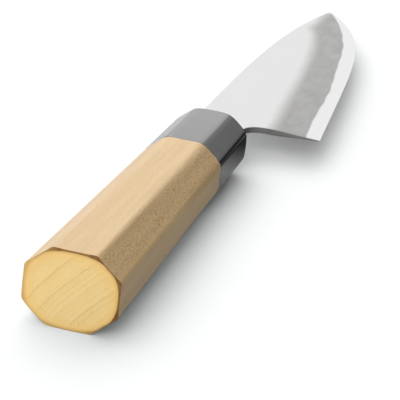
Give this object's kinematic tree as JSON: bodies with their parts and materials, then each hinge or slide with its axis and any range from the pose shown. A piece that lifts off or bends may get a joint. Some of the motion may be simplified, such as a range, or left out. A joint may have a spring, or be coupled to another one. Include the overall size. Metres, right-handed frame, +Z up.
{
  "type": "petty knife",
  "caption": "Small kitchen knife with a three-layer laminated blade, a black ferrule and a tapered octagonal wooden handle, lying on its side.",
  "frame": {"origin": "middle of the lowest facet of the handle, on the surface that the knife lies on", "axes": "+X along the handle towards the blade's tip, +Y towards the spine, +Z up out of the right-hand face"},
  "size_m": [0.264, 0.0368, 0.0179],
  "materials": {
    "handle_wood": "satin",
    "ferrule_black": "satin",
    "bedding_resin": "matte",
    "core_steel": "satin",
    "cladding_steel": "satin"
  },
  "bodies": {
    "root": {"handle_grip": "handle_wood", "ferrule": "ferrule_black", "tang_bedding": "bedding_resin", "blade_core": "core_steel", "cladding_right": "cladding_steel", "cladding_left": "cladding_steel"}
  },
  "joints": []
}
